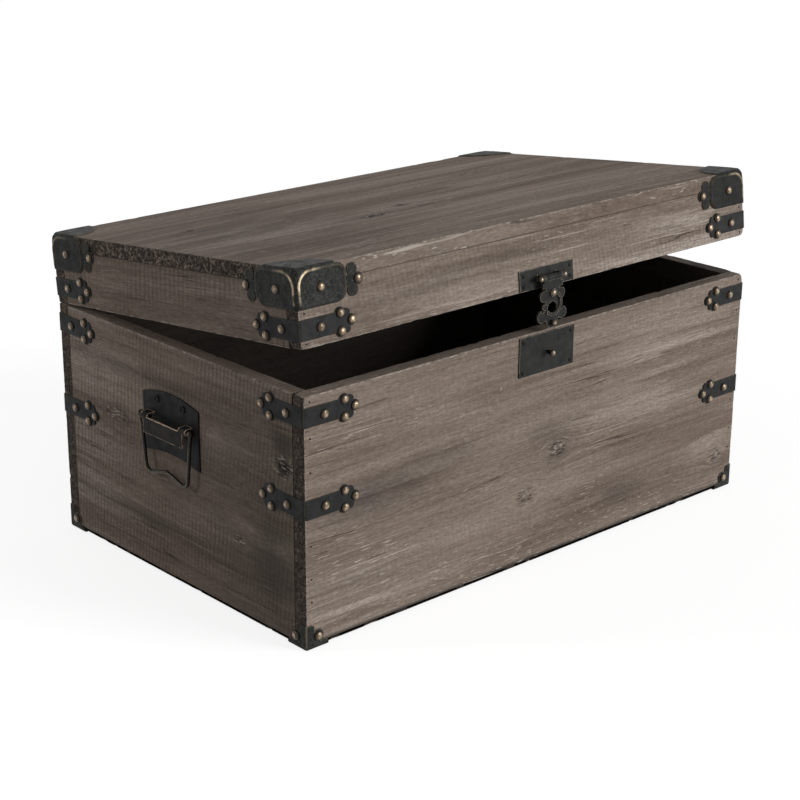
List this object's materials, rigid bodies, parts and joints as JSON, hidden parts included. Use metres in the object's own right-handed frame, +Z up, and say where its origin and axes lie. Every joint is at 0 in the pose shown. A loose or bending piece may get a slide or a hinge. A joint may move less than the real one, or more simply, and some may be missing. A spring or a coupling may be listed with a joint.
{
  "type": "lidded wooden trunk",
  "caption": "Rectangular wooden storage trunk with a hinged box lid, iron corner straps and caps, a front hasp with a catch, and a bail handle on each end.",
  "frame": {"origin": "on the floor under the middle of the base", "axes": "+X along the front from the left end to the right end, +Y from the front to the back, +Z up"},
  "size_m": [0.7264, 0.4696, 0.4101],
  "materials": {
    "weathered_wood": "grey-brown weathered stain",
    "dark_wood": "dark stain",
    "strap_iron": "blackened sheet iron",
    "cap_iron": "blackened pressed iron with worn folds",
    "nail_bronze": "antique bronze, hammered",
    "brad_steel": "dark set brads",
    "hasp_iron": "blackened iron",
    "dark_rivet_iron": "blackened iron",
    "hasp_bronze": "antique bronze",
    "handle_iron": "blackened iron with worn edges",
    "bail_bronze": "dark bronze wire",
    "hinge_iron": "blackened iron",
    "hinge_steel": "dark steel"
  },
  "bodies": {
    "base": {"base_front_board": "weathered_wood", "base_back_board": "weathered_wood", "base_left_board": "weathered_wood", "base_right_board": "weathered_wood", "base_floor_panel": "dark_wood", "base_upper_strap_front_left": "strap_iron", "base_upper_strap_front_right": "strap_iron", "base_upper_strap_back_left": "strap_iron", "base_upper_strap_back_right": "strap_iron", "base_middle_strap_front_left": "strap_iron", "base_middle_strap_front_right": "strap_iron", "base_middle_strap_back_left": "strap_iron", "base_middle_strap_back_right": "strap_iron", "base_corner_cap_front_left": "cap_iron", "base_corner_cap_front_right": "cap_iron", "base_corner_cap_back_left": "cap_iron", "base_corner_cap_back_right": "cap_iron", "base_nails": "nail_bronze", "base_brads": "brad_steel", "hasp_base_plate": "hasp_iron", "hasp_base_plate_nails": "dark_rivet_iron", "hasp_stud": "hasp_bronze", "handle_rivets": "dark_rivet_iron", "hinge_pins": "hinge_steel", "base_hinge_screws": "hinge_steel", "left_handle_plate": "handle_iron", "left_handle_bracket": "handle_iron", "right_handle_plate": "handle_iron", "right_handle_bracket": "handle_iron", "left_hinge_base_leaf": "hinge_iron", "right_hinge_base_leaf": "hinge_iron"},
    "lid": {"lid_front_board": "weathered_wood", "lid_back_board": "weathered_wood", "lid_left_board": "weathered_wood", "lid_right_board": "weathered_wood", "lid_top_board": "weathered_wood", "lid_strap_front_left": "strap_iron", "lid_strap_front_right": "strap_iron", "lid_strap_back_left": "strap_iron", "lid_strap_back_right": "strap_iron", "lid_corner_cap_front_left": "cap_iron", "lid_corner_cap_front_right": "cap_iron", "lid_corner_cap_back_left": "cap_iron", "lid_corner_cap_back_right": "cap_iron", "lid_nails": "nail_bronze", "lid_brads": "brad_steel", "hasp_lid_plate": "hasp_iron", "hasp_lid_plate_nails": "dark_rivet_iron", "hasp_pin": "hasp_bronze", "lid_hinge_screws": "hinge_steel", "left_hinge_lid_leaf": "hinge_iron", "right_hinge_lid_leaf": "hinge_iron"},
    "hasp": {"hasp": "hasp_iron", "hasp_knob": "hasp_bronze", "hasp_catch_rivet": "hasp_bronze"},
    "hasp_catch": {"hasp_catch": "hasp_iron"},
    "left_bail": {"left_handle_bail": "bail_bronze"},
    "right_bail": {"right_handle_bail": "bail_bronze"}
  },
  "joints": [
    {"name": "lid_hinge", "type": "hinge", "parent": "base", "child": "lid", "pos_m": [0, 0.2259, 0.28], "axis": [-1, 0, 0], "range_deg": [-6.2, 90]},
    {"name": "hasp_hinge", "type": "hinge", "parent": "lid", "child": "hasp", "pos_m": [0, -0.22849, 0.34194], "axis": [-1, 0, 0], "range_deg": [0, 150]},
    {"name": "catch_pivot", "type": "hinge", "parent": "hasp", "child": "hasp_catch", "pos_m": [0, -0.22849, 0.32394], "axis": [0, -1, 0], "range_deg": [0, 50]},
    {"name": "left_bail_swing", "type": "hinge", "parent": "base", "child": "left_bail", "pos_m": [-0.359, 0.005, 0.193], "axis": [0, 1, 0], "range_deg": [0, 95]},
    {"name": "right_bail_swing", "type": "hinge", "parent": "base", "child": "right_bail", "pos_m": [0.359, 0.005, 0.193], "axis": [0, -1, 0], "range_deg": [0, 95]}
  ]
}
